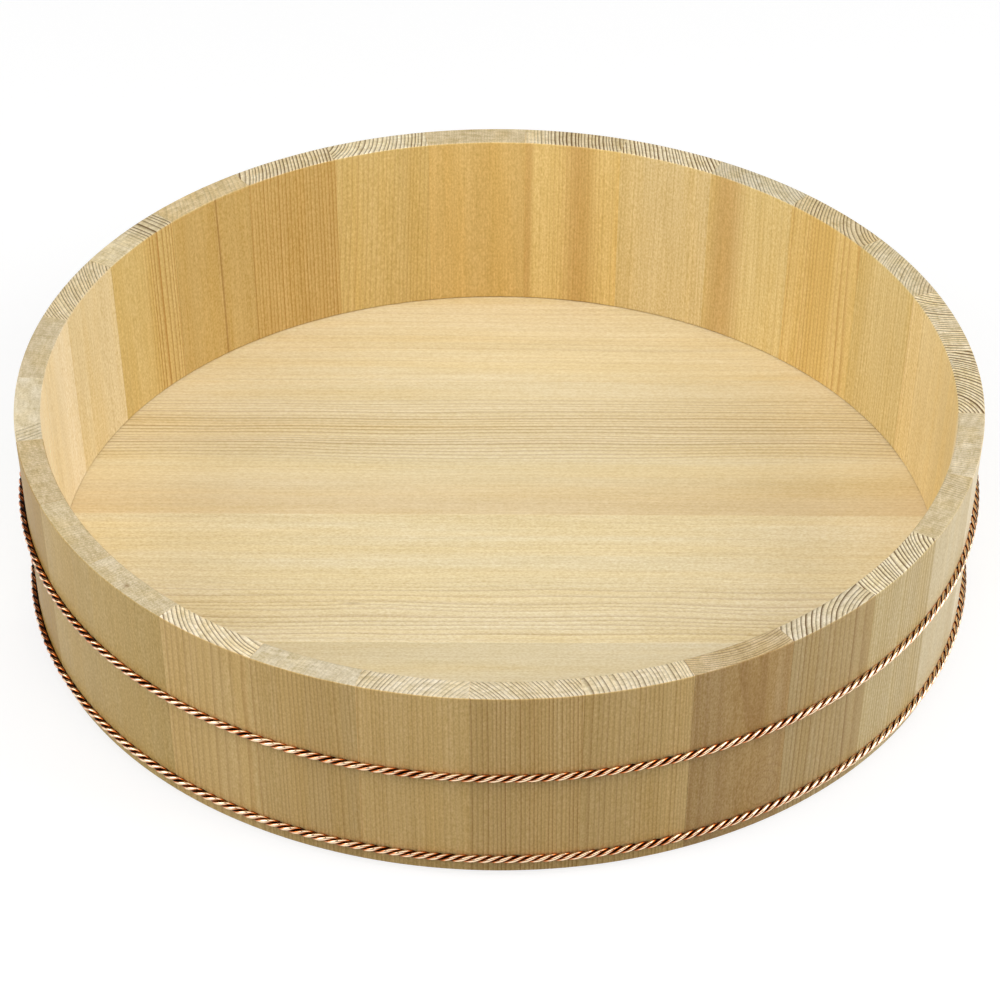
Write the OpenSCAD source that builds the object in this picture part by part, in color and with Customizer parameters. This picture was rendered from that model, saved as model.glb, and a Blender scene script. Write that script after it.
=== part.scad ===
// Sushi rice tub: a wide, shallow tub of tapered staves, edge to edge round a
// floor of joined boards, held by two hoops of twisted copper wire.
// Millimetres, +Z up, origin at the middle of the circle that the foot stands on.

/* [Tub] */
// Outside diameter of the rim
rim_d = 540; // [500:5:600]
// Height from the foot to the rim
height = 125; // [115:1:150]
// Thickness of the wall, measured level
wall = 15; // [12:0.5:18]
// How much the outside radius grows from the foot to the rim
flare = 9; // [5:0.5:16]
// Width of the worked-off corner along the rim and the foot
corner = 1; // [0.5:0.25:2]

/* [Staves] */
// Number of staves round the wall
stave_count = 28; // [24:1:32]
// Angle of the first joint between staves, from +X
first_joint_angle = 9.6; // [0:0.1:11]

/* [Floor] */
// Height of the floor's upper face above the foot
floor_top = 18.5; // [17:0.5:26]
// Thickness of the floor boards
floor_thick = 13; // [9:0.5:15]
// Depth of the groove that the floor sits in, at the floor's upper face
groove_depth = 4; // [2:0.5:5]
// Place of the front joint between floor boards, along Y
front_joint_y = -87; // [-130:1:-50]
// Place of the middle joint between floor boards, along Y
middle_joint_y = 31; // [-10:1:60]
// Place of the rear joint between floor boards, along Y
rear_joint_y = 161; // [100:1:180]

/* [Hoops] */
// Thickness of each of the copper wires twisted into a hoop
wire_d = 2; // [1.2:0.1:2.4]
// Number of copper wires twisted into a hoop
wire_count = 3; // [2:1:4]
// Height of the upper hoop's middle above the foot
upper_hoop_z = 69.5; // [60:0.5:85]
// Height of the lower hoop's middle above the foot
lower_hoop_z = 10.5; // [8:0.5:16]
// How deep a driven hoop has bedded into the staves
hoop_bed = 0.5; // [0.1:0.05:0.6]

/* [Bamboo pegs] */
// Thickness of the pegs
peg_d = 4; // [3:0.25:5]
// Length of a peg between two staves
stave_peg_l = 24; // [16:1:30]
// Height of the upper peg in each stave joint
upper_peg_z = 98; // [90:1:105]
// Height of the lower peg in each stave joint
lower_peg_z = 46; // [38:1:55]
// Length of a peg between two floor boards
floor_peg_l = 40; // [24:1:50]

/* [Hidden] */
$fn = 96;
rim_r = rim_d / 2;
foot_r = rim_r - flare;
stave_angle = 360 / stave_count;
taper_angle = atan(flare / height);
floor_under = floor_top - floor_thick;
floor_r = foot_r + flare * floor_top / height - wall + groove_depth;
rope_r = wire_d / 2 * (1 + 1 / sin(180 / wire_count));
floor_joints = [front_joint_y, middle_joint_y, rear_joint_y];
floor_edges = concat([-floor_r], floor_joints, [floor_r]);
floor_board_count = len(floor_edges) - 1;
// Places of the pegs along a floor joint, as shares of half the joint's length
floor_peg_shares = [-0.55, 0, 0.55];
stave_peg_heights = [lower_peg_z, upper_peg_z];
// Colours of the parts
stave_colour = [0.85, 0.71, 0.47];
floor_colour = [0.93, 0.85, 0.64];
copper_colour = [0.80, 0.47, 0.29];
bamboo_colour = [0.78, 0.69, 0.42];

// Names of the numbered parts, counted anticlockwise from +X and from the front
function stave_name(i) = str("stave_", i < 10 ? "0" : "", i);
function floor_board_name(i) = str("floor_board_", i);

// Radius of the wall's outer and inner face at a height
function outer_r(z) = foot_r + flare * z / height;
function inner_r(z) = outer_r(z) - wall;

// Radius of the middle of a hoop that beds on the wall at a height
function hoop_r(z) = outer_r(z) + rope_r / cos(taper_angle) - hoop_bed;

// Half the length of a floor joint at a place along Y
function half_joint(y) = sqrt(floor_r * floor_r - y * y);

// Section through the wall, with the groove for the floor and the hoops' beds
module wall_section() {
    difference() {
        polygon([
            [inner_r(0), 0],
            [outer_r(0) - corner, 0],
            [outer_r(corner), corner],
            [outer_r(height - corner), height - corner],
            [outer_r(height) - corner, height],
            [inner_r(height) + corner, height],
            [inner_r(height - corner), height - corner],
            [inner_r(floor_top), floor_top],
            [floor_r, floor_top],
            [floor_r, floor_under],
            [inner_r(floor_under), floor_under]
        ]);
        hoop_section(upper_hoop_z);
        hoop_section(lower_hoop_z);
    }
}

// Round section of a hoop where it lies on the wall
module hoop_section(z) {
    translate([hoop_r(z), z]) circle(r = rope_r);
}

// The two pegs of one stave joint, square to the joint's face
module joint_pegs(angle) {
    for (z = stave_peg_heights)
        rotate([0, 0, angle])
            translate([outer_r(z) - wall / 2, 0, z])
                rotate([90, 0, 0])
                    cylinder(d = peg_d, h = stave_peg_l, center = true);
}

// The pegs of one joint between floor boards, along Y
module floor_joint_pegs(y) {
    for (share = floor_peg_shares)
        translate([share * half_joint(y), y, floor_under + floor_thick / 2])
            rotate([90, 0, 0])
                cylinder(d = peg_d, h = floor_peg_l, center = true);
}

// One stave, a slice of the wall between two joints
module stave(i) {
    start = first_joint_angle + (i - 1) * stave_angle;
    color(stave_colour)
        difference() {
            rotate([0, 0, start])
                rotate_extrude(angle = stave_angle) wall_section();
            joint_pegs(start);
            joint_pegs(start + stave_angle);
        }
}

// One floor board, a strip of the round floor
module floor_board(i) {
    low = floor_edges[i - 1];
    high = floor_edges[i];
    color(floor_colour)
        difference() {
            intersection() {
                translate([0, 0, floor_under])
                    cylinder(r = floor_r, h = floor_thick);
                translate([-rim_r, low, 0])
                    cube([rim_d, high - low, height]);
            }
            for (y = floor_joints) floor_joint_pegs(y);
        }
}

// One hoop, the round that its twisted wires fill
module hoop(z) {
    color(copper_colour) rotate_extrude() hoop_section(z);
}

module upper_hoop() {
    hoop(upper_hoop_z);
}

module lower_hoop() {
    hoop(lower_hoop_z);
}

module stave_pegs() {
    color(bamboo_colour)
        for (i = [0 : stave_count - 1])
            joint_pegs(first_joint_angle + i * stave_angle);
}

module floor_pegs() {
    color(bamboo_colour)
        for (y = floor_joints) floor_joint_pegs(y);
}

for (i = [1 : stave_count])
    stave(i);
for (i = [1 : floor_board_count])
    floor_board(i);
upper_hoop();
lower_hoop();
stave_pegs();
floor_pegs();
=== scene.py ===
"""Dressed model of a sushi rice tub: planed staves, floor boards, twisted copper hoops and a studio."""

import logging
import math
from dataclasses import dataclass
from enum import Enum

import bmesh
import bpy
from mathutils import Color, Matrix, Vector


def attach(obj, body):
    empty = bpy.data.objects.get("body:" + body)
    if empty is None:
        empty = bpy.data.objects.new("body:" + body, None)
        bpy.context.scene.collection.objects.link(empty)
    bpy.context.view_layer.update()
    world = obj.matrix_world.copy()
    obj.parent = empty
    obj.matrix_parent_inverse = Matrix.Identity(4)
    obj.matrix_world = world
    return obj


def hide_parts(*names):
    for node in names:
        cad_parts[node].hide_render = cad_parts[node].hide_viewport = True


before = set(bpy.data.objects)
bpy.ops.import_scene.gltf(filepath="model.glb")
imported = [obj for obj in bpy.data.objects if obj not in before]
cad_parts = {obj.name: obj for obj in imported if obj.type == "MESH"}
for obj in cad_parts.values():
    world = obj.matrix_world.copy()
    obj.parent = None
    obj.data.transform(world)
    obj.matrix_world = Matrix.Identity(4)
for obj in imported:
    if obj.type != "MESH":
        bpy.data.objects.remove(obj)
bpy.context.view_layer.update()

log = logging.getLogger("tub")

MM = 0.001
BODY = "root"
SHARP_EDGE = math.radians(40)
SAME_POINT = 0.001 * MM
Colour = tuple[int, int, int]
Pair = tuple[float, float]
Socket = bpy.types.NodeSocket
Feed = Socket | float | tuple


def linear(colour: Colour) -> tuple[float, float, float, float]:
    """Turns a screen's red, green and blue from 0 to 255 into the linear colour that the shaders take."""
    screen = Color([part / 255 for part in colour])
    return (*screen.from_srgb_to_scene_linear(), 1.0)


class Graph:
    """A node tree that is written as sums on its sockets."""

    # A mix node has sockets of the same name for each kind of data, so colours are found by number.
    MIX_SHARE = 0
    MIX_FIRST = 6
    MIX_SECOND = 7
    MIX_RESULT = 2

    def __init__(self, tree: bpy.types.NodeTree) -> None:
        """Starts on a tree, which may hold nodes already."""
        self.tree = tree

    def add(self, kind: str, **settings: object) -> bpy.types.Node:
        """Adds a node.

        Args:
            kind: Blender's name of the node type.
            settings: Values of the node's own properties.

        Returns:
            The new node.
        """
        node = self.tree.nodes.new(kind)
        for name, value in settings.items():
            setattr(node, name, value)
        return node

    def feed(self, socket: Socket, value: Feed) -> None:
        """Links an input to another socket, or sets it to a plain value.

        Args:
            socket: The input.
            value: The socket to link it to, or the value to set.
        """
        if isinstance(value, Socket):
            self.tree.links.new(value, socket)
        else:
            socket.default_value = value

    def fill(self, node: bpy.types.Node, *values: Feed) -> bpy.types.Node:
        """Feeds the first inputs of a node.

        Args:
            node: The node.
            values: A socket or plain value for each input, in order.

        Returns:
            The same node.
        """
        for socket, value in zip(node.inputs, values):
            self.feed(socket, value)
        return node

    def math(self, operation: str, *values: Feed) -> Socket:
        """Works out one sum on numbers, by Blender's name of the sum."""
        return self.fill(self.add("ShaderNodeMath", operation=operation), *values).outputs[0]

    def vector(self, operation: str, *values: Feed) -> Socket:
        """Works out one sum on vectors, by Blender's name of the sum."""
        node = self.add("ShaderNodeVectorMath", operation=operation)
        return self.fill(node, *values).outputs["Vector"]

    def scale(self, vector: Feed, factor: Feed) -> Socket:
        """Makes a vector longer or shorter by a factor."""
        return self.vector("MULTIPLY", vector, self.join(factor, factor, factor))

    def length(self, vector: Feed) -> Socket:
        """Measures the length of a vector."""
        node = self.add("ShaderNodeVectorMath", operation="LENGTH")
        return self.fill(node, vector).outputs["Value"]

    def join(self, *parts: Feed) -> Socket:
        """Joins three numbers into a vector."""
        return self.fill(self.add("ShaderNodeCombineXYZ"), *parts).outputs[0]

    def split(self, vector: Feed) -> tuple[Socket, ...]:
        """Splits a vector into its three numbers."""
        return tuple(self.fill(self.add("ShaderNodeSeparateXYZ"), vector).outputs)

    def noise(self, place: Feed, detail: float = 1.0, one_way: bool = False) -> bpy.types.Node:
        """Adds a noise whose features are about one unit of its place across.

        Args:
            place: Where to read it: a vector, or a number if it runs one way.
            detail: How many finer layers are added.
            one_way: Whether it runs along a line only.

        Returns:
            The noise node, with Fac and Color outputs.
        """
        node = self.add("ShaderNodeTexNoise", noise_dimensions="1D" if one_way else "3D")
        self.feed(node.inputs["W" if one_way else "Vector"], place)
        node.inputs["Scale"].default_value = 1.0
        node.inputs["Detail"].default_value = detail
        return node

    def swing(self, value: Feed, size: Feed) -> Socket:
        """Turns a noise from 0 to 1 into a swing about zero, of a size each way."""
        return self.math("MULTIPLY", self.math("MULTIPLY_ADD", value, 2.0, -1.0), size)

    def rise(self, value: Feed, start: Feed, end: Feed) -> Socket:
        """Rises smoothly from 0 at one value to 1 at another.

        Args:
            value: The value that is read.
            start: Where the rise starts.
            end: Where the rise ends, which may be below its start.

        Returns:
            The height, from 0 to 1.
        """
        node = self.add("ShaderNodeMapRange", interpolation_type="SMOOTHSTEP")
        for name, part in zip(("Value", "From Min", "From Max"), (value, start, end)):
            self.feed(node.inputs[name], part)
        return node.outputs[0]

    def ramp(self, value: Feed, stops: list[tuple[float, float]]) -> Socket:
        """Reads a curve that is given as a few straight runs.

        Args:
            value: Place along the curve, from 0 to 1.
            stops: Pairs of place and height, in order.

        Returns:
            The height.
        """
        node = self.add("ShaderNodeValToRGB")
        elements = node.color_ramp.elements
        while len(elements) < len(stops):
            elements.new(0.5)
        for element, (place, height) in zip(elements, stops):
            element.position = place
            element.color = (height, height, height, 1.0)
        self.feed(node.inputs[0], value)
        return node.outputs[0]

    def mix(self, share: Feed, first: Feed, second: Feed, blend: str = "MIX") -> Socket:
        """Mixes two colours.

        Args:
            share: How much of the second colour is taken, from 0 to 1.
            first: The first colour.
            second: The second colour.
            blend: Blender's name of the way to mix.

        Returns:
            The mixed colour.
        """
        node = self.add("ShaderNodeMix", data_type="RGBA", blend_type=blend)
        self.feed(node.inputs[self.MIX_SHARE], share)
        self.feed(node.inputs[self.MIX_FIRST], first)
        self.feed(node.inputs[self.MIX_SECOND], second)
        return node.outputs[self.MIX_RESULT]

    def bump(self, height: Feed, strength: float, depth: float) -> Socket:
        """Turns a height into a slight unevenness of the surface.

        Args:
            height: The height, from 0 to 1 or so.
            strength: How much of the unevenness shows, from 0 to 1.
            depth: How deep it is at a height of 1, in metres.

        Returns:
            The uneven normal.
        """
        node = self.add("ShaderNodeBump")
        node.inputs["Strength"].default_value = strength
        node.inputs["Distance"].default_value = depth
        self.feed(node.inputs["Height"], height)
        return node.outputs[0]


def new_material(name: str) -> tuple[bpy.types.Material, Graph, bpy.types.NodeInputs]:
    """Starts a material on Blender's principled shader.

    Args:
        name: Name of the material.

    Returns:
        The material, its graph and the shader's inputs.
    """
    material = bpy.data.materials.new(name)
    material.use_nodes = True
    tree = material.node_tree
    return material, Graph(tree), tree.nodes["Principled BSDF"].inputs


@dataclass(frozen=True)
class TubShape:
    """Sizes that the pieces share, in metres, the same as the solids have."""

    rim_radius: float = 0.270
    height: float = 0.125
    wall: float = 0.015
    flare: float = 0.009
    corner: float = 0.001
    stave_count: int = 28
    first_joint: float = math.radians(9.6)
    floor_top: float = 0.0185
    floor_thick: float = 0.013
    groove_depth: float = 0.004
    floor_joints: tuple[float, ...] = (-0.087, 0.031, 0.161)
    wire: float = 0.0020
    wire_count: int = 3
    upper_hoop: float = 0.0695
    lower_hoop: float = 0.0105
    hoop_bed: float = 0.0005

    @property
    def lean(self) -> float:
        """How far the wall leans out for each metre of height."""
        return self.flare / self.height

    @property
    def stave_angle(self) -> float:
        """Angle that one stave takes up."""
        return math.tau / self.stave_count

    @property
    def floor_radius(self) -> float:
        """Radius of the floor, which reaches into the groove."""
        return self.inner_radius(self.floor_top) + self.groove_depth

    @property
    def rope_radius(self) -> float:
        """Radius of the round that a hoop's twisted wires fill."""
        return self.wire / 2 * (1 + 1 / math.sin(math.pi / self.wire_count))

    def outer_radius(self, z: float) -> float:
        """Outside radius of the wall at a height."""
        return self.rim_radius - self.flare + self.lean * z

    def inner_radius(self, z: float) -> float:
        """Inside radius of the wall at a height."""
        return self.outer_radius(z) - self.wall

    def middle_radius(self, z: float) -> float:
        """Radius of the middle of the wall at a height."""
        return self.outer_radius(z) - self.wall / 2

    def hoop_radius(self, z: float) -> float:
        """Radius of a hoop's middle line at a height."""
        return self.outer_radius(z) + self.rope_radius / math.cos(math.atan(self.lean)) - self.hoop_bed

    def stave_middle(self, index: int) -> float:
        """Angle of the middle of a stave, counted from 0."""
        return self.first_joint + (index + 0.5) * self.stave_angle


@dataclass(frozen=True)
class WoodTone:
    """Colours of one sort of timber as it is planed."""

    early: Colour
    late: Colour


class Timber(Enum):
    """Sorts of timber that the staves and boards were cut from."""

    IVORY = WoodTone((241, 223, 186), (184, 144, 80))
    CREAM = WoodTone((242, 221, 174), (184, 142, 66))
    PEACH = WoodTone((238, 214, 158), (180, 130, 48))
    GOLD = WoodTone((230, 201, 132), (178, 110, 10))
    STRAW = WoodTone((233, 198, 131), (168, 98, 6))
    GREEN = WoodTone((228, 204, 143), (170, 120, 30))
    TAN = WoodTone((222, 189, 120), (170, 104, 8))
    AMBER = WoodTone((222, 180, 96), (168, 100, 8))
    BROWN = WoodTone((209, 172, 114), (150, 92, 20))
    ASH = WoodTone((228, 197, 138), (162, 106, 24))
    FLOOR = WoodTone((243, 227, 187), (170, 126, 62))


class EndTone(Enum):
    """How pale a sawn end is, from the tan of plain ends to the cream of ringed ones."""

    TAN = 0.05
    STRAW = 0.3
    HONEY = 0.55
    CREAM = 0.75
    PALE = 1.0


@dataclass(frozen=True)
class Band:
    """A darker or paler band of rings, measured out from the pith, from the middle of the piece."""

    place: float = 0.0
    width: float = 1.0
    depth: float = 0.0
    colour: Colour = (180, 128, 66)


@dataclass(frozen=True)
class Mark:
    """A pin knot, resin streak or curl. Across, through and along are from the middle of the piece.

    Stretch is how many times longer than wide it is, bend how far it pushes the rings out at its
    middle, and depth how far its own colour shows.
    """

    place: tuple[float, float, float] = (0.0, 0.0, 0.0)
    size: float = 0.0
    stretch: float = 4.0
    bend: float = 1.0
    depth: float = 0.6


@dataclass(frozen=True)
class Grain:
    """How one piece was sawn from the tree. Sizes are in millimetres.

    The pith is the tree's middle, seen from the middle of the piece: for a stave along the rim,
    anticlockwise, and outwards; for a board to the rear and upwards. Focus is where the rings
    are clearest, as a place and a width measured out from the pith. Face is how strong the
    lines are along the piece, against those on its ends. Taper is how much wider each ring is
    than the one before it. Rim is how bright the ends are against the faces, and fuzz how
    clearly single fibres show.
    """

    pith: Pair
    pitch: float = 2.2
    line: float = 0.6
    timber: Timber = Timber.GOLD
    shade: float = 1.0
    end: EndTone = EndTone.HONEY
    rim: float = 1.0
    face: float = 0.5
    wave: float = 2.0
    lean: float = 0.0
    taper: float = 0.0
    patch: float = 0.3
    fuzz: float = 1.0
    focus: Pair = (0.0, 400.0)
    band: Band = Band()
    second_band: Band = Band()
    mark: Mark = Mark()


@dataclass(frozen=True)
class Fleck:
    """One unevenness of the wood, drawn out along its fibres.

    Scale is the number of features in each millimetre across, through and along the piece,
    detail how many finer layers are added, and depth how far it shows.
    """

    scale: tuple[float, float, float]
    detail: float
    depth: float


class WoodFinish:
    """Planed softwood: growth rings round a pith, fibres along the piece and duller end grain."""

    GROUP = "planed_wood"
    # The inputs that have the name of a field of Grain, and then the others
    PLAIN = ("pitch", "line", "shade", "rim", "face", "wave", "lean", "taper", "patch", "fuzz")
    NUMBERS = (
        *PLAIN,
        *("end", "pale", "seed", "pith across", "pith through", "focus place", "focus width"),
        *("band place", "band width", "band depth", "second place", "second width", "second depth"),
        *("mark size", "mark stretch", "mark bend", "mark depth"),
    )
    VECTORS = ("place", "mark place")
    COLOURS = ("early", "late", "band colour", "second colour")
    ROUGHNESS = 0.44
    FIBRE_ROUGHNESS = 0.14
    END_ROUGHNESS = 0.16
    GLOSS = 0.2
    LATE_HEIGHT = 0.6
    BUMP_STRENGTH = 0.15
    BUMP_DEPTH = 0.15 * MM
    FIBRE = Fleck((1.1, 1.1, 0.02), 2.0, 0.13)
    SPECK = Fleck((1.1, 1.1, 0.6), 1.0, 0.22)
    CLOUD = Fleck((0.07, 0.07, 0.004), 2.0, 0.09)
    SMEAR = Fleck((0.3, 0.08, 0.3), 2.0, 0.17)
    SMUDGE = Fleck((0.14, 0.4, 0.3), 3.0, 0.31)
    SWAY = Fleck((0.016, 0.016, 0.005), 1.0, 2.0)
    RIPPLE = Fleck((0.09, 0.09, 0.014), 1.0, 0.2)
    SEED_STEP = (13.7, 7.1, 29.3)
    RING_SEED_STEP = 31.7
    END_PLAIN: Colour = (214, 194, 154)
    END_PALE: Colour = (247, 236, 208)
    END_LATE: Colour = (112, 84, 46)
    END_STRENGTH = 1.5
    END_SHARE = 0.75
    END_TILT = (0.5, 0.9)
    AMBER = (1.0, 0.97, 0.88, 1.0)
    AMBER_PARTS = (0.4, 0.7)
    MARK_COLOUR: Colour = (150, 112, 62)
    # How fast red, green and blue fade in dark places
    FADES = (1.0, 1.4, 2.6)
    END_FADES = (1.0, 1.2, 1.8)
    RING_CURVE = [(0.0, 0.0), (0.46, 0.07), (0.72, 0.5), (0.88, 1.0), (0.95, 0.9), (1.0, 0.0)]
    RING_DRIFT_SCALE = 0.08
    RING_DRIFT = 0.8
    WEAKEST_RING = 0.5
    FOCUS_EDGE = (0.6, 1.4)
    BAND_EDGE = (1.5, 0.2)
    BAND_END_FADE = -0.8

    def __init__(self) -> None:
        """Builds the shared group of nodes."""
        self.tree = bpy.data.node_groups.new(self.GROUP, "ShaderNodeTree")
        self._sockets()
        self.g = Graph(self.tree)
        self.given = self.g.add("NodeGroupInput").outputs
        self._build()

    def _sockets(self) -> None:
        """Declares what the group takes and gives."""
        inputs = (("Vector", self.VECTORS), ("Float", self.NUMBERS), ("Color", self.COLOURS))
        for kind, names in inputs:
            for name in names:
                self.tree.interface.new_socket(name, in_out="INPUT", socket_type=f"NodeSocket{kind}")
        for kind, name in (("Color", "colour"), ("Float", "roughness"), ("Vector", "normal")):
            self.tree.interface.new_socket(name, in_out="OUTPUT", socket_type=f"NodeSocket{kind}")

    def _build(self) -> None:
        """Writes the sums of the group."""
        g, given = self.g, self.given
        result = g.add("NodeGroupOutput").inputs
        spot = self._spot()
        distance, out = self._ring_distance(spot)
        late = self._late_wood(distance, out)
        fibre = self._fleck(self.FIBRE).outputs["Fac"]
        speck = self._fleck(self.SPECK).outputs["Fac"]
        light, warmth, _ = g.split(self._fleck(self.CLOUD).outputs["Color"])

        wood = self._colour(late, out, warmth)
        wood = g.mix(g.math("MULTIPLY", spot, given["mark depth"]), wood, linear(self.MARK_COLOUR))

        lift = g.math("ADD", g.swing(fibre, self.FIBRE.depth), g.swing(speck, self.SPECK.depth))
        lift = g.math("MULTIPLY", lift, given["fuzz"])
        lift = g.math("ADD", lift, g.swing(light, self.CLOUD.depth))
        for fleck in (self.SMEAR, self.SMUDGE):
            noise = self._fleck(fleck).outputs["Fac"]
            lift = g.math("ADD", lift, g.swing(noise, g.math("MULTIPLY", given["end"], fleck.depth)))
        g.feed(result["colour"], g.mix(1.0, wood, self._shading(lift), "MULTIPLY"))

        rough = g.math("ADD", g.swing(fibre, self.FIBRE_ROUGHNESS), self.ROUGHNESS)
        g.feed(result["roughness"], g.math("MULTIPLY_ADD", given["end"], self.END_ROUGHNESS, rough))
        height = g.math("ADD", g.math("MULTIPLY_ADD", late, self.LATE_HEIGHT, fibre), speck)
        g.feed(result["normal"], g.bump(height, self.BUMP_STRENGTH, self.BUMP_DEPTH))

    def _fleck(self, fleck: Fleck) -> bpy.types.Node:
        """Adds the noise of one unevenness.

        Args:
            fleck: The unevenness.

        Returns:
            The noise node.
        """
        g, given = self.g, self.given
        seed = g.scale(self.SEED_STEP, given["seed"])
        place = g.vector("MULTIPLY", given["place"], fleck.scale)
        return g.noise(g.vector("ADD", place, seed), fleck.detail)

    def _colour(self, late: Feed, out: Feed, warmth: Feed) -> Socket:
        """Colours the early wood, the bands and the late wood, along the piece and on its ends.

        Args:
            late: Share of late wood, from 0 to 1.
            out: How far a point is from the pith, beyond the middle of the piece.
            warmth: A broad noise, high where the wood is a little more amber.

        Returns:
            The colour, still without marks and fibres.
        """
        g, given = self.g, self.given
        cut = g.mix(given["pale"], linear(self.END_PLAIN), linear(self.END_PALE))
        pale = g.mix(g.math("MULTIPLY", given["end"], self.END_SHARE), given["early"], cut)
        amber = g.mix(1.0, pale, self.AMBER, "MULTIPLY")
        wood = g.mix(g.rise(warmth, *self.AMBER_PARTS), pale, amber)
        for band in ("band", "second"):
            wood = self._banded(out, wood, band)
        dark = g.mix(given["end"], given["late"], linear(self.END_LATE))
        extra = g.math("SUBTRACT", self.END_STRENGTH, given["face"])
        share = g.math("MULTIPLY", late, g.math("MULTIPLY_ADD", given["end"], extra, given["face"]))
        return g.mix(g.math("MINIMUM", share, 1.0), wood, dark)

    def _shading(self, lift: Feed) -> Socket:
        """Works out how bright the wood is, with dark places warmer than pale ones.

        Args:
            lift: How much brighter than usual a point is.

        Returns:
            The colour to multiply the wood by.
        """
        g, given = self.g, self.given
        level = g.math("ADD", lift, 1.0)
        parts = []
        for face, end in zip(self.FADES, self.END_FADES):
            power = g.math("MULTIPLY_ADD", given["end"], end - face, face)
            parts.append(g.math("POWER", level, power))
        rim = g.math("MULTIPLY_ADD", given["end"], g.math("SUBTRACT", given["rim"], 1.0), 1.0)
        return g.scale(g.join(*parts), g.math("MULTIPLY", given["shade"], rim))

    def _spot(self) -> Socket:
        """Works out how much of a pin knot, resin streak or curl is at a point.

        Returns:
            The share of the mark, from 0 to 1.
        """
        g, given = self.g, self.given
        across, through, along = g.split(g.vector("SUBTRACT", given["place"], given["mark place"]))
        short = g.math("DIVIDE", along, given["mark stretch"])
        return g.rise(g.length(g.join(across, through, short)), given["mark size"], 0.0)

    def _banded(self, out: Feed, wood: Feed, band: str) -> Socket:
        """Colours one band of rings.

        Args:
            out: How far a point is from the pith, beyond the middle of the piece.
            wood: The colour without the band.
            band: Name of the band's inputs.

        Returns:
            The colour with the band.
        """
        g, given = self.g, self.given
        offset = g.math("ABSOLUTE", g.math("SUBTRACT", out, given[f"{band} place"]))
        edge = g.math("DIVIDE", offset, given[f"{band} width"])
        along = g.math("MULTIPLY_ADD", given["end"], self.BAND_END_FADE, 1.0)
        depth = g.math("MULTIPLY", given[f"{band} depth"], along)
        share = g.math("MULTIPLY", g.rise(edge, *self.BAND_EDGE), depth)
        return g.mix(share, wood, given[f"{band} colour"])

    def _ring_distance(self, spot: Feed) -> tuple[Socket, Socket]:
        """Works out how far a point is from the pith, with the tree's own unevenness.

        Args:
            spot: Share of a mark at the point, which bends the rings round it.

        Returns:
            The distance of the point, and how far it is beyond the middle of the piece.
        """
        g, given = self.g, self.given
        middle = (0.5, 0.5, 0.5)
        broad = g.vector("SUBTRACT", self._fleck(self.SWAY).outputs["Color"], middle)
        fine = g.vector("SUBTRACT", self._fleck(self.RIPPLE).outputs["Color"], middle)
        both = g.vector("ADD", broad, g.vector("MULTIPLY", fine, (self.RIPPLE.depth,) * 3))
        sway = g.scale(both, g.math("MULTIPLY", given["wave"], self.SWAY.depth))
        along = g.split(given["place"])[2]
        pith = g.join(given["pith across"], given["pith through"], 0.0)
        slope = g.join(g.math("MULTIPLY", along, given["lean"]), 0.0, 0.0)
        bent = g.vector("ADD", g.vector("ADD", given["place"], sway), slope)
        flat = g.vector("MULTIPLY", g.vector("SUBTRACT", bent, pith), (1.0, 1.0, 0.0))
        distance = g.math("MULTIPLY_ADD", spot, given["mark bend"], g.length(flat))
        return distance, g.math("SUBTRACT", distance, g.length(pith))

    def _late_wood(self, distance: Feed, out: Feed) -> Socket:
        """Works out how dark the late wood of a ring is at a distance from the pith.

        Args:
            distance: Distance from the pith, in millimetres.
            out: How far that is beyond the middle of the piece.

        Returns:
            The share of late wood, from 0 to 1.
        """
        g, given = self.g, self.given
        start = g.math("MULTIPLY", given["seed"], self.RING_SEED_STEP)
        drift_place = g.math("MULTIPLY_ADD", distance, self.RING_DRIFT_SCALE, start)
        drift = g.noise(drift_place, one_way=True).outputs["Fac"]
        slower = g.math("MULTIPLY", g.math("MULTIPLY", out, out), given["taper"])
        rings = g.math("DIVIDE", g.math("SUBTRACT", distance, slower), given["pitch"])
        rings = g.math("ADD", rings, g.swing(drift, self.RING_DRIFT))
        year = g.add("ShaderNodeTexWhiteNoise", noise_dimensions="1D")
        g.feed(year.inputs["W"], g.math("ADD", g.math("FLOOR", rings), start))
        growth = 1.0 - self.WEAKEST_RING
        vigour = g.math("MULTIPLY_ADD", year.outputs["Value"], growth, self.WEAKEST_RING)
        line = g.ramp(g.math("FRACT", rings), self.RING_CURVE)
        offset = g.math("ABSOLUTE", g.math("SUBTRACT", out, given["focus place"]))
        blur = g.math("DIVIDE", offset, given["focus width"])
        faint = g.math("MULTIPLY", g.rise(blur, *self.FOCUS_EDGE), given["patch"])
        strength = g.math("MULTIPLY", g.math("SUBTRACT", 1.0, faint), given["line"])
        return g.math("MULTIPLY", g.math("MULTIPLY", line, vigour), strength)

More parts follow.
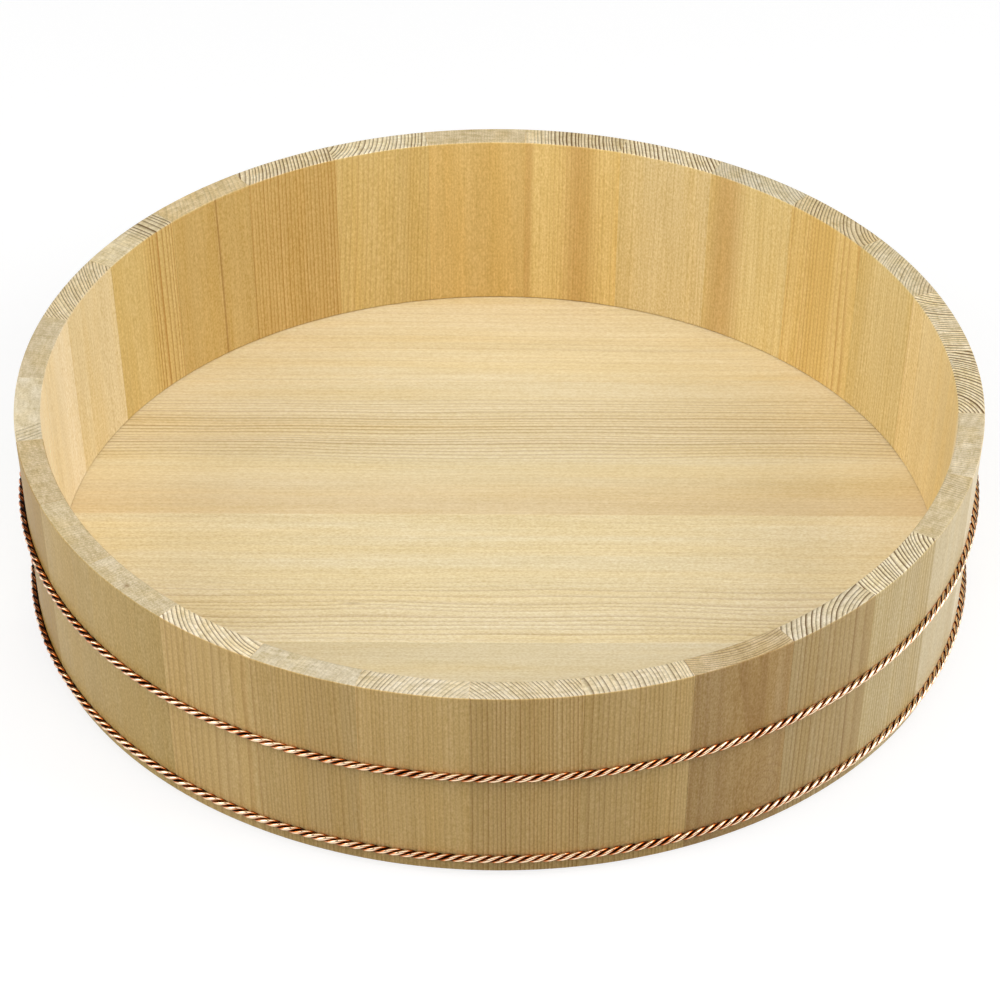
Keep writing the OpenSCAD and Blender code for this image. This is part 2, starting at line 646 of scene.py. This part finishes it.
    def dress(
        self, name: str, grain: Grain, seed: int
    ) -> tuple[bpy.types.Material, Graph, dict[str, Socket]]:
        """Makes the material of one piece, which still has to be laid in it.

        Args:
            name: Name of the material.
            grain: How the piece was sawn.
            seed: Number that sets this piece apart from the others.

        Returns:
            The material, its graph, and the group's inputs by name.
        """
        material, g, shader = new_material(name)
        wood = g.add("ShaderNodeGroup", node_tree=self.tree)
        values = {key: getattr(grain, key) for key in self.PLAIN}
        values["pale"] = grain.end.value
        values["seed"] = float(seed)
        values["pith across"], values["pith through"] = grain.pith
        values["focus place"], values["focus width"] = grain.focus
        values["early"] = linear(grain.timber.value.early)
        values["late"] = linear(grain.timber.value.late)
        for part, settings in (("band", grain.band), ("second", grain.second_band), ("mark", grain.mark)):
            for key, value in vars(settings).items():
                values[f"{part} {key}"] = linear(value) if key == "colour" else value
        for key, value in values.items():
            wood.inputs[key].default_value = value
        g.feed(shader["Base Color"], wood.outputs["colour"])
        g.feed(shader["Roughness"], wood.outputs["roughness"])
        g.feed(shader["Normal"], wood.outputs["normal"])
        shader["Specular IOR Level"].default_value = self.GLOSS
        return material, g, {socket.name: socket for socket in wood.inputs}

    def lay(
        self, g: Graph, inputs: dict[str, Socket], place: tuple[Feed, Feed, Feed], fibres: int
    ) -> None:
        """Lays the wood in its piece.

        Args:
            g: The material's graph.
            inputs: The group's inputs by name.
            place: Where a point is across, through and along the piece, in metres.
            fibres: Number of the axis that the fibres run along, where the ends face.
        """
        g.feed(inputs["place"], g.scale(g.join(*place), 1 / MM))
        normal = g.split(g.add("ShaderNodeNewGeometry").outputs["Normal"])
        tilt = g.math("ABSOLUTE", normal[fibres])
        g.feed(inputs["end"], g.rise(tilt, *self.END_TILT))


def ease(
    bm: bmesh.types.BMesh, geom: list, size: float, segments: int = 1, affect: str = "EDGES"
) -> None:
    """Takes off some edges or corners of a mesh.

    Args:
        bm: The mesh.
        geom: Its edges or points to ease.
        size: How far the ease reaches from each.
        segments: How many flats make up the round.
        affect: Blender's name for what is eased.
    """
    kind = {"offset_type": "OFFSET", "affect": affect, "profile": 0.5, "material": -1}
    bmesh.ops.bevel(bm, geom=geom, offset=size, segments=segments, **kind)


def shown_piece(name: str, bm: bmesh.types.BMesh, sharp: float = SHARP_EDGE) -> bpy.types.Object:
    """Makes a finished object from a mesh that is already in its place.

    Args:
        name: Name of the piece.
        bm: The mesh, which is freed.
        sharp: Angle in radians above which an edge stays sharp.

    Returns:
        The object, at the origin.
    """
    bmesh.ops.remove_doubles(bm, verts=bm.verts, dist=SAME_POINT)
    bmesh.ops.recalc_face_normals(bm, faces=bm.faces)
    mesh = bpy.data.meshes.new(name)
    bm.to_mesh(mesh)
    bm.free()
    mesh.shade_smooth()
    mesh.set_sharp_from_angle(angle=sharp)
    piece = bpy.data.objects.new(name, mesh)
    bpy.context.scene.collection.objects.link(piece)
    return piece


@dataclass
class StaveRing:
    """The wall: staves edge to edge, planed to one round, each with its own grain."""

    FIBRES = 2

    shape: TubShape
    finish: WoodFinish
    grains: list[Grain]
    steps: int = 8
    corner_segments: int = 4
    joint_ease: float = 0.12 * MM
    lip_ease: float = 1.6 * MM
    lip_segments: int = 2

    def build(self) -> None:
        """Builds, dresses and places every stave."""
        for index, grain in enumerate(self.grains):
            node = f"stave_{index + 1:02d}"
            piece = self._stave(f"planed_{node}", index)
            piece.data.materials.append(self._material(f"wood_{node}", index, grain))
            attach(piece, BODY)
            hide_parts(node)
            log.info("stave %s", piece.name)

    def _section(self, bm: bmesh.types.BMesh) -> bmesh.types.BMFace:
        """Draws the wall's section in the XZ plane, with its corners rounded.

        Args:
            bm: The mesh to draw in.

        Returns:
            The face of the section.
        """
        s = self.shape
        under = s.floor_top - s.floor_thick
        line = [
            (s.outer_radius(0.0), 0.0),
            (s.outer_radius(s.height), s.height),
            (s.inner_radius(s.height), s.height),
            (s.inner_radius(s.floor_top), s.floor_top),
            (s.floor_radius, s.floor_top),
            (s.floor_radius, under),
            (s.inner_radius(under), under),
            (s.inner_radius(0.0), 0.0),
        ]
        points = [bm.verts.new((r, 0.0, z)) for r, z in line]
        bm.faces.new(points)
        outer_foot, outer_rim, inner_rim, lip, *_, inner_foot = points
        rounded = [outer_foot, outer_rim, inner_rim, inner_foot]
        ease(bm, rounded, s.corner, self.corner_segments, "VERTICES")
        ease(bm, [lip], self.lip_ease, self.lip_segments, "VERTICES")
        bm.faces.ensure_lookup_table()
        return bm.faces[0]

    def _stave(self, name: str, index: int) -> bpy.types.Object:
        """Sweeps the section through one stave's angle and eases its joints.

        Args:
            name: Name of the piece.
            index: Number of the stave, from 0.

        Returns:
            The stave's object.
        """
        s = self.shape
        bm = bmesh.new()
        face = self._section(bm)
        start = s.first_joint + index * s.stave_angle
        turn = Matrix.Rotation(start, 3, "Z")
        bmesh.ops.rotate(bm, verts=bm.verts, cent=(0, 0, 0), matrix=turn)
        centre = {"cent": (0, 0, 0), "axis": (0, 0, 1)}
        bmesh.ops.spin(bm, geom=[face], angle=s.stave_angle, steps=self.steps, **centre)
        bmesh.ops.recalc_face_normals(bm, faces=bm.faces)
        # Only the two joint faces have the whole section's corners.
        joints = [f for f in bm.faces if len(f.verts) > 4]
        ease(bm, list({e for f in joints for e in f.edges}), self.joint_ease)
        piece = shown_piece(name, bm)
        # Broad faces stay evenly shaded beside their narrow rounded edges.
        piece.modifiers.new("broad_faces", "WEIGHTED_NORMAL").keep_sharp = True
        return piece

    def _material(self, name: str, index: int, grain: Grain) -> bpy.types.Material:
        """Makes the wood of one stave, laid along its middle line.

        Args:
            name: Name of the material.
            index: Number of the stave, from 0.
            grain: How the stave was sawn.

        Returns:
            The material.
        """
        s = self.shape
        material, g, inputs = self.finish.dress(name, grain, index + 1)
        where = g.add("ShaderNodeTexCoord").outputs["Object"]
        turned = g.add("ShaderNodeVectorRotate", rotation_type="Z_AXIS")
        g.feed(turned.inputs["Vector"], where)
        turned.inputs["Angle"].default_value = -s.stave_middle(index)
        out, across, up = g.split(turned.outputs[0])
        axis = g.math("MULTIPLY_ADD", up, s.lean, s.middle_radius(0.0))
        through = g.math("SUBTRACT", out, axis)
        self.finish.lay(g, inputs, (across, through, up), self.FIBRES)
        return material


@dataclass
class TubFloor:
    """The floor: boards edge to edge, cut to a round that sits in the staves' groove."""

    FIBRES = 0
    FIRST_SEED = 41

    shape: TubShape
    finish: WoodFinish
    grains: list[Grain]
    segments: int = 256
    joint_ease: float = 0.22 * MM
    on_joint: float = 0.01 * MM

    def build(self) -> None:
        """Builds, dresses and places every board, from front to rear."""
        s = self.shape
        # The round alone bounds the first board's front and the last board's rear.
        beyond = 2 * s.floor_radius
        edges = [-beyond, *s.floor_joints, beyond]
        for index, grain in enumerate(self.grains):
            node = f"floor_board_{index + 1}"
            front, rear = edges[index], edges[index + 1]
            piece = self._board(f"planed_{node}", front, rear)
            low, high = max(front, -s.floor_radius), min(rear, s.floor_radius)
            middle = (low + high) / 2
            piece.data.materials.append(self._material(f"wood_{node}", index, grain, middle))
            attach(piece, BODY)
            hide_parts(node)
            log.info("board %s", piece.name)

    def _board(self, name: str, front: float, rear: float) -> bpy.types.Object:
        """Cuts one board from the round and eases its joints.

        Args:
            name: Name of the piece.
            front: Where the board starts along Y.
            rear: Where the board ends along Y.

        Returns:
            The board's object.
        """
        s = self.shape
        bm = bmesh.new()
        bmesh.ops.create_circle(bm, cap_ends=True, radius=s.floor_radius, segments=self.segments)
        for place, away in ((front, (0, -1, 0)), (rear, (0, 1, 0))):
            every = [*bm.verts, *bm.edges, *bm.faces]
            plane = {"plane_co": (0, place, 0), "plane_no": away}
            bmesh.ops.bisect_plane(bm, geom=every, clear_outer=True, **plane)
        bmesh.ops.translate(bm, verts=bm.verts, vec=(0, 0, s.floor_top - s.floor_thick))
        grown = bmesh.ops.extrude_face_region(bm, geom=bm.faces)["geom"]
        top = [v for v in grown if isinstance(v, bmesh.types.BMVert)]
        bmesh.ops.translate(bm, verts=top, vec=(0, 0, s.floor_thick))
        bmesh.ops.recalc_face_normals(bm, faces=bm.faces)
        joints = [e for e in bm.edges if self._on_joint(e, front) or self._on_joint(e, rear)]
        ease(bm, joints, self.joint_ease)
        return shown_piece(name, bm)

    def _on_joint(self, edge: bmesh.types.BMEdge, place: float) -> bool:
        """Says whether an edge lies along the joint at a place along Y."""
        level = abs(edge.verts[0].co.z - edge.verts[1].co.z) < self.on_joint
        return level and all(abs(v.co.y - place) < self.on_joint for v in edge.verts)

    def _material(self, name: str, index: int, grain: Grain, middle: float) -> bpy.types.Material:
        """Makes the wood of one board, with its fibres along X.

        Args:
            name: Name of the material.
            index: Number of the board, from 0.
            grain: How the board was sawn.
            middle: Middle of the board along Y.

        Returns:
            The material.
        """
        s = self.shape
        material, g, inputs = self.finish.dress(name, grain, index + self.FIRST_SEED)
        along, across, up = g.split(g.add("ShaderNodeTexCoord").outputs["Object"])
        across = g.math("SUBTRACT", across, middle)
        through = g.math("SUBTRACT", up, s.floor_top - s.floor_thick / 2)
        self.finish.lay(g, inputs, (across, through, along), self.FIBRES)
        return material


@dataclass(frozen=True)
class CopperFinish:
    """Bright drawn copper, with oxide where the wires meet and painted shade on the wall's side and
    underneath.

    On the hoops, painted light towards +X thins that dark, and painted shade darkens the far end of -X.
    """

    bright: Colour = (254, 224, 188)
    warm: Colour = (224, 118, 44)
    # Colour of the oxide, also used for the painted shade.
    oxide: Colour = (28, 15, 11)
    roughness: float = 0.12
    oxide_roughness: float = 0.42
    # Painted light towards +X: where it starts and how much of the dark it takes away.
    painted_light_side: Pair = (0.12, 0.24)
    painted_light: float = 0.7
    # Painted shade towards the far end of -X: where it starts and how strong it is.
    painted_shade_side: Pair = (-0.19, -0.26)
    painted_shade: float = 0.2
    tarnish_scale: float = 90.0
    tarnish_detail: float = 3.0
    tarnish_swing: float = 0.5
    tarnish_roughness: float = 0.08
    warming: Pair = (0.1, 0.42)
    darkening: Pair = (0.3, 0.75)
    drawn_scale: float = 1500.0
    drawn_detail: float = 2.0
    bump_strength: float = 0.1
    bump_depth: float = 0.05 * MM

    def material(self) -> bpy.types.Material:
        """Makes the copper of the wires.

        Returns:
            The material, which reads the wires' own attribute of oxide and painted shade.
        """
        material, g, shader = new_material("bright_copper")
        where = g.add("ShaderNodeTexCoord").outputs["Object"]
        tarnish = g.noise(g.scale(where, self.tarnish_scale), self.tarnish_detail).outputs["Fac"]
        drawn = g.noise(g.scale(where, self.drawn_scale), self.drawn_detail).outputs["Fac"]
        # The attribute holds the oxide where the wires meet and painted shade on the wall side and
        # underside.
        groove = g.add("ShaderNodeAttribute", attribute_name=TwistedHoop.OXIDE_AND_SHADE).outputs["Fac"]
        side = g.split(where)[0]
        # Painted light towards +X thins the oxide and painted shade there.
        painted_light_share = g.math("MULTIPLY", g.rise(side, *self.painted_light_side), self.painted_light)
        oxide_and_shade_less_light = g.math("MULTIPLY_ADD", painted_light_share, g.math("SUBTRACT", groove, 1.0), groove)
        spots = g.swing(tarnish, self.tarnish_swing)
        # Painted shade at the far end of -X, added to the random tarnish spots.
        spots_and_painted_shade = g.math("MULTIPLY_ADD", g.rise(side, *self.painted_shade_side), self.painted_shade, spots)
        oxide_spots_and_painted_light = g.math("ADD", oxide_and_shade_less_light, spots_and_painted_shade)
        # The warm and dark colours follow a mask of oxide, tarnish spots, painted shade and painted light.
        metal = g.mix(g.rise(oxide_spots_and_painted_light, *self.warming), linear(self.bright), linear(self.warm))
        dark = g.rise(oxide_spots_and_painted_light, *self.darkening)
        g.feed(shader["Base Color"], g.mix(dark, metal, linear(self.oxide)))
        shader["Metallic"].default_value = 1.0
        spread = self.oxide_roughness - self.roughness
        rough = g.math("MULTIPLY_ADD", dark, spread, self.roughness)
        g.feed(shader["Roughness"], g.math("MULTIPLY_ADD", tarnish, self.tarnish_roughness, rough))
        g.feed(shader["Normal"], g.bump(drawn, self.bump_strength, self.bump_depth))
        return material


@dataclass
class TwistedHoop:
    """One hoop: copper wires twisted round each other and drawn tight round the wall."""

    # Attribute of the oxide where the wires meet, with painted shade on their wall side and underside.
    OXIDE_AND_SHADE = "wire_oxide_and_shade"

    name: str
    shape: TubShape
    copper: bpy.types.Material
    height: float
    lay: float = 20.9 * MM
    groove_reach: float = 0.9 * MM
    # Where the painted shade starts on the side facing the wall and on the underside.
    wall_shade_start: float = -0.1
    under_shade_start: float = 0.4
    steps_in_turn: int = 20
    sides: int = 14
    sharp: float = math.radians(80)

    def build(self) -> None:
        """Builds, dresses and places every wire."""
        count = self.shape.wire_count
        for index in range(count):
            piece = self._wire(f"{self.name}_wire_{index + 1}", index * math.tau / count)
            piece.data.materials.append(self.copper)
            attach(piece, BODY)
            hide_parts(self.name)
            log.info("wire %s", piece.name)

    @property
    def radius(self) -> float:
        """Radius of the hoop's middle line."""
        return self.shape.hoop_radius(self.height)

    @property
    def offset(self) -> float:
        """How far a wire's middle is from the hoop's middle line."""
        return self.shape.rope_radius - self.shape.wire / 2

    @property
    def turns(self) -> int:
        """Whole turns of the twist round the hoop."""
        return round(math.tau * self.radius / self.lay)

    def _wire(self, name: str, phase: float) -> bpy.types.Object:
        """Sweeps a wire's round section along the hoop and twists it.

        Args:
            name: Name of the piece.
            phase: Angle of the wire about the hoop's middle line at the start.

        Returns:
            The wire's object.
        """
        half = self.shape.wire / 2
        climb = math.atan(math.tau * self.offset / self.lay)
        bm = bmesh.new()
        bmesh.ops.create_circle(bm, radius=half, segments=self.sides)
        bmesh.ops.scale(bm, verts=bm.verts, vec=(1.0, 1 / math.cos(climb), 1.0))
        stand = Matrix.Rotation(math.pi / 2, 3, "X")
        bmesh.ops.rotate(bm, verts=bm.verts, cent=(0, 0, 0), matrix=stand)
        place = (self.radius + self.offset, 0, self.height)
        bmesh.ops.translate(bm, verts=bm.verts, vec=place)
        arc = math.tau / self.steps_in_turn
        centre = {"cent": (0, 0, 0), "axis": (0, 0, 1)}
        bmesh.ops.spin(bm, geom=bm.edges, angle=arc, steps=self.turns, **centre)
        copies = self.steps_in_turn - 1
        every = [*bm.verts, *bm.edges, *bm.faces]
        bmesh.ops.spin(bm, geom=every, angle=arc * copies, steps=copies, use_duplicate=True, **centre)
        bmesh.ops.remove_doubles(bm, verts=bm.verts, dist=SAME_POINT)
        self._twist(bm, phase)
        return shown_piece(name, bm, self.sharp)

    def _twist(self, bm: bmesh.types.BMesh, phase: float) -> None:
        """Turns each section about the hoop's middle line, and notes the oxide where the wires meet with the
        painted shade on the wall side and underside.

        Args:
            bm: The swept wire, still untwisted.
            phase: Angle of the wire at the start.
        """
        layer = bm.verts.layers.float.new(self.OXIDE_AND_SHADE)
        rope = self.shape.rope_radius
        for vert in bm.verts:
            around = math.atan2(vert.co.y, vert.co.x)
            out = math.hypot(vert.co.x, vert.co.y) - self.radius
            up = vert.co.z - self.height
            meeting = (rope - math.hypot(out, up)) / self.groove_reach
            turn = self.turns * around + phase
            new_out = out * math.cos(turn) - up * math.sin(turn)
            new_up = out * math.sin(turn) + up * math.cos(turn)
            # Painted shade on the side that faces the wall and on the underside, kept with the oxide where
            # the wires meet.
            painted_wall_shade = (-new_out / rope - self.wall_shade_start) / (1 - self.wall_shade_start)
            painted_under_shade = (-new_up / rope - self.under_shade_start) / (1 - self.under_shade_start)
            vert[layer] = min(1.0, max(0.0, meeting, painted_wall_shade, painted_under_shade))
            reach = self.radius + new_out
            vert.co = (reach * math.cos(around), reach * math.sin(around), self.height + new_up)


@dataclass(frozen=True)
class BambooFinish:
    """Split bamboo, with fine fibres along the peg."""

    pale: Colour = (222, 200, 142)
    dark: Colour = (180, 146, 88)
    fibre_scale: float = 900.0
    fibre_detail: float = 3.0
    streaks: Pair = (0.35, 0.7)
    roughness: float = 0.45
    fibre_roughness: float = 0.2
    bump_strength: float = 0.3
    bump_depth: float = 0.1 * MM

    def material(self) -> bpy.types.Material:
        """Makes the bamboo of the pegs.

        Returns:
            The material.
        """
        material, g, shader = new_material("split_bamboo")
        where = g.add("ShaderNodeTexCoord").outputs["Object"]
        fibre = g.noise(g.scale(where, self.fibre_scale), self.fibre_detail).outputs["Fac"]
        streak = g.rise(fibre, *self.streaks)
        g.feed(shader["Base Color"], g.mix(streak, linear(self.pale), linear(self.dark)))
        rough = g.math("MULTIPLY_ADD", fibre, self.fibre_roughness, self.roughness)
        g.feed(shader["Roughness"], rough)
        g.feed(shader["Normal"], g.bump(fibre, self.bump_strength, self.bump_depth))
        return material


@dataclass
class Pegs:
    """The bamboo pegs hidden in the joints, which keep the shape of their solids."""

    finish: BambooFinish
    nodes: tuple[str, ...] = ("stave_pegs", "floor_pegs")

    def build(self) -> None:
        """Dresses the pegs."""
        bamboo = self.finish.material()
        for name in self.nodes:
            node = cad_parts[name]
            node.data.materials.clear()
            node.data.materials.append(bamboo)
            log.info("pegs %s", name)


@dataclass(frozen=True)
class Softbox:
    """One soft lamp that faces the tub."""

    name: str
    place: tuple[float, float, float]
    width: float
    depth: float
    power: float

    def build(self, target: Vector) -> None:
        """Hangs the lamp and turns it to a point.

        Args:
            target: The point that the lamp faces.
        """
        data = bpy.data.lights.new(self.name, "AREA")
        data.shape = "RECTANGLE"
        data.size = self.width
        data.size_y = self.depth
        data.energy = self.power
        lamp = bpy.data.objects.new(self.name, data)
        lamp.location = self.place
        lamp.rotation_euler = (target - Vector(self.place)).to_track_quat("-Z", "Y").to_euler()
        lamp.visible_camera = False
        bpy.context.scene.collection.objects.link(lamp)


@dataclass
class Studio:
    """A white floor, soft lamps and the camera."""

    shape: TubShape
    lens: float = 214.67
    sensor: float = 36.0
    sight: float = 50.0
    distance: float = 3.321
    elevation: float = math.radians(35.889)
    dip: float = math.radians(1.006)
    swing: float = math.radians(0.01)
    roll: float = math.radians(0.236)
    floor_size: float = 12.0
    floor_albedo: float = 0.3
    floor_glow: float = 0.74
    floor_shade: float = 0.32
    fill: float = 0.06
    backdrop_top: float = 0.07
    backdrop_fade: float = 0.14
    lamps: tuple[Softbox, ...] = (
        Softbox("overhead_softbox", (0.0, -0.8, 2.1), 2.6, 2.6, 33.0),
        Softbox("right_softbox", (2.0, -0.4, 1.25), 1.6, 1.6, 32.0),
        Softbox("left_softbox", (-2.0, -0.4, 1.25), 1.6, 1.6, 26.0),
    )

    def build(self) -> None:
        """Sets up the camera, the floor, the lamps and the surroundings."""
        self._camera()
        self._floor()
        self._surroundings()
        target = Vector((0, 0, self.shape.height / 2))
        for lamp in self.lamps:
            lamp.build(target)
        bpy.context.scene.view_settings.view_transform = "Standard"
        log.info("studio with %d lamps", len(self.lamps))

    def _camera(self) -> None:
        """Places the camera at the photograph's viewing angle."""
        data = bpy.data.cameras.new("camera")
        data.sensor_width = self.sensor
        data.lens = self.lens
        data.clip_end = self.sight
        camera = bpy.data.objects.new("camera", data)
        back = self.distance * math.cos(self.elevation)
        up = self.shape.height + self.distance * math.sin(self.elevation)
        tilt = Matrix.Rotation(math.pi / 2 - self.elevation - self.dip, 4, "X")
        aside = Matrix.Rotation(-self.swing, 4, "Y")
        roll = Matrix.Rotation(self.roll, 4, "Z")
        camera.matrix_world = Matrix.Translation((0, -back, up)) @ tilt @ aside @ roll
        bpy.context.scene.collection.objects.link(camera)
        bpy.context.scene.camera = camera

    def _floor(self) -> None:
        """Lays a plain white floor that keeps the tub's shadow."""
        bm = bmesh.new()
        bmesh.ops.create_grid(bm, x_segments=1, y_segments=1, size=self.floor_size / 2)
        floor = shown_piece("studio_floor", bm)
        material, g, _ = new_material("white_floor")
        nodes = material.node_tree.nodes
        nodes.remove(nodes["Principled BSDF"])
        plain = g.fill(g.add("ShaderNodeBsdfDiffuse"), (*(self.floor_albedo,) * 3, 1.0))
        faint = g.fill(g.add("ShaderNodeBsdfDiffuse"), (*(self.floor_shade,) * 3, 1.0))
        glow = g.add("ShaderNodeEmission")
        glow.inputs["Strength"].default_value = self.floor_glow
        white = g.fill(g.add("ShaderNodeAddShader"), faint.outputs[0], glow.outputs[0])
        # Rays that show the floor itself, straight or in a mirror, see it white. It lights the tub less.
        path = g.add("ShaderNodeLightPath").outputs
        mirrored = g.math("MAXIMUM", path["Is Glossy Ray"], path["Is Transmission Ray"])
        shown = g.math("MAXIMUM", path["Is Camera Ray"], mirrored)
        shaders = (plain.outputs[0], white.outputs[0])
        choice = g.fill(g.add("ShaderNodeMixShader"), shown, *shaders)
        g.feed(nodes["Material Output"].inputs["Surface"], choice.outputs[0])
        floor.data.materials.append(material)

    def _surroundings(self) -> None:
        """Gives a dim room with a white backdrop all round, as high as the horizon band."""
        world = bpy.data.worlds.new("studio")
        bpy.context.scene.world = world
        world.use_nodes = True
        g = Graph(world.node_tree)
        back = world.node_tree.nodes["Background"]
        back.inputs["Color"].default_value = (1.0, 1.0, 1.0, 1.0)
        _, _, up = g.split(g.add("ShaderNodeTexCoord").outputs["Generated"])
        backdrop = g.rise(up, self.backdrop_fade, self.backdrop_top)
        level = g.math("MULTIPLY_ADD", backdrop, 1.0 - self.fill, self.fill)
        g.feed(back.inputs["Strength"], level)


STAVES = [
    Grain((62, 24), 2.0, 0.9, Timber.PEACH, 1.05, EndTone.HONEY, 1.05, face=0.35),
    Grain((-77, 64), 1.8, 0.6, Timber.GREEN, 1.03, EndTone.HONEY, 0.95, face=0.6, band=Band(-20, 6, 0.5)),
    Grain((-43, 39), 2.0, 0.85, Timber.GOLD, 1.06, EndTone.STRAW, face=0.65),
    Grain((-70, 70), 1.8, 0.6, Timber.GREEN, 1.08, EndTone.PALE, 0.82, face=0.4, band=Band(18, 8, 0.4)),
    Grain((-140, 75), 2.1, 1.25, Timber.PEACH, 0.98, EndTone.CREAM, 1.16, face=0.16),
    Grain(
        (-90, 16), 2.1, 1.2, Timber.GOLD, 1.08, face=0.25, patch=0.8, focus=(-6, 24),
        band=Band(-3, 8, 0.36), second_band=Band(27, 3, 0.4),
    ),
    Grain((120, 5), 1.5, 0.15, Timber.TAN, 1.04, EndTone.STRAW, 0.96),
    Grain((62, 24), 2.3, 0.8, Timber.GOLD, 0.92, EndTone.PALE, 1.17, face=0.45, lean=0.05),
    Grain((140, 48), 2.2, 1.0, Timber.TAN, 0.9, EndTone.CREAM, 1.25, face=0.65),
    Grain((100, 50), 3.2, 0.2, Timber.TAN, 0.85, EndTone.TAN, 1.29, band=Band(8.3, 0.6, 0.5, (150, 90, 24))),
    Grain((100, 0), 2.9, 0.8, Timber.GOLD, 0.88, EndTone.HONEY, 1.1, face=0.95, patch=0.85, focus=(18, 14)),
    Grain((-75, -80), 1.8, 0.75, Timber.CREAM, 0.92, EndTone.STRAW, 1.18, face=0.15),
    Grain((120, 0), 2.0, 0.1, Timber.IVORY, 1.05, EndTone.TAN, 0.86),
    Grain((-90, 60), 2.6, 0.4, Timber.IVORY, 1.12, EndTone.HONEY, 0.81, face=0.2, patch=0.95, focus=(22, 8)),
    # Stave 15's low shade and amber timber, with its rim raised to match, are painted shade on the left
    # side.
    Grain((-120, 0), 1.5, 0.2, Timber.AMBER, 0.65, EndTone.STRAW, 1.34, fuzz=1.3),
    Grain((120, 10), 2.0, 0.15, Timber.TAN, 0.84, EndTone.STRAW, 1.06, fuzz=1.3),
    Grain((-120, -10), 2.0, 0.15, Timber.TAN, 0.86, fuzz=1.3, mark=Mark((-2, 2, 125), 3.0, 1.5)),
    Grain((35, -60), 2.4, 0.7, Timber.STRAW, 0.95, EndTone.PALE, 1.1),
    Grain((130, 20), 2.4, 0.1, Timber.STRAW, 0.91, EndTone.PALE, 0.85, face=4.5, lean=0.02),
    Grain((90, 42), 2.4, 0.55, Timber.STRAW, 1.05, EndTone.PALE, 0.85, face=0.7, patch=0.6, focus=(10, 28)),
    Grain((-84, 54), 2.0, 0.65, Timber.STRAW, 0.95, EndTone.PALE, 0.95, face=1.0, lean=0.01),
    Grain((-90, 5), 2.6, 0.65, Timber.STRAW, 0.88, EndTone.PALE, 1.05, face=0.7, taper=-0.006),
    Grain(
        (5, -70), 1.7, 0.5, Timber.BROWN, 0.81, EndTone.TAN, 1.14, face=0.6, fuzz=1.3,
        mark=Mark((16, 7, 26), 20.0, 1.4, bend=8.0, depth=0.0),
    ),
    Grain((40, 50), 2.7, 0.95, Timber.ASH, 0.73, EndTone.PALE, 1.2, face=0.65),
    Grain((60, 35), 2.2, 1.1, Timber.PEACH, 0.81, EndTone.PALE, 1.25, face=0.6),
    Grain((110, 10), 1.9, 0.4, Timber.CREAM, 0.88, EndTone.TAN, 1.03, face=1.2, patch=0.6, focus=(-16, 9)),
    # Stave 27's raised face shade, with its rim brought down to match, is painted light on the right side.
    Grain((120, 5), 1.7, 0.3, Timber.IVORY, 1.06, EndTone.STRAW, 0.89, face=1.0),
    Grain((-35, -21), 2.3, 1.55, Timber.PEACH, 1.05, EndTone.CREAM, face=0.35),
]

BOARDS = [
    Grain((-160, 40), 4.0, 0.15, Timber.FLOOR, 0.9, wave=4.0, fuzz=0.7),
    Grain(
        (150, -60), 4.4, 0.85, Timber.FLOOR, wave=9.0, patch=0.8, fuzz=0.8, focus=(34, 24),
        mark=Mark((-24, 6, -82), 1.2, 8.0),
    ),
    Grain(
        (-200, 50), 2.8, 1.4, Timber.FLOOR, 0.97, wave=5.0, patch=0.85, fuzz=0.6, focus=(14, 26),
        band=Band(-65, 34, 0.3, (224, 184, 124)),
    ),
    Grain((180, -90), 4.0, 0.25, Timber.FLOOR, 0.98, wave=4.0, fuzz=0.6),
]


def main() -> None:
    """Builds the tub and the studio in order."""
    logging.basicConfig(level=logging.INFO, format="%(message)s")
    shape = TubShape()
    wood = WoodFinish()
    copper = CopperFinish().material()
    StaveRing(shape, wood, STAVES).build()
    TubFloor(shape, wood, BOARDS).build()
    TwistedHoop("upper_hoop", shape, copper, shape.upper_hoop).build()
    TwistedHoop("lower_hoop", shape, copper, shape.lower_hoop).build()
    Pegs(BambooFinish()).build()
    Studio(shape).build()


if __name__ == "__main__":
    main()
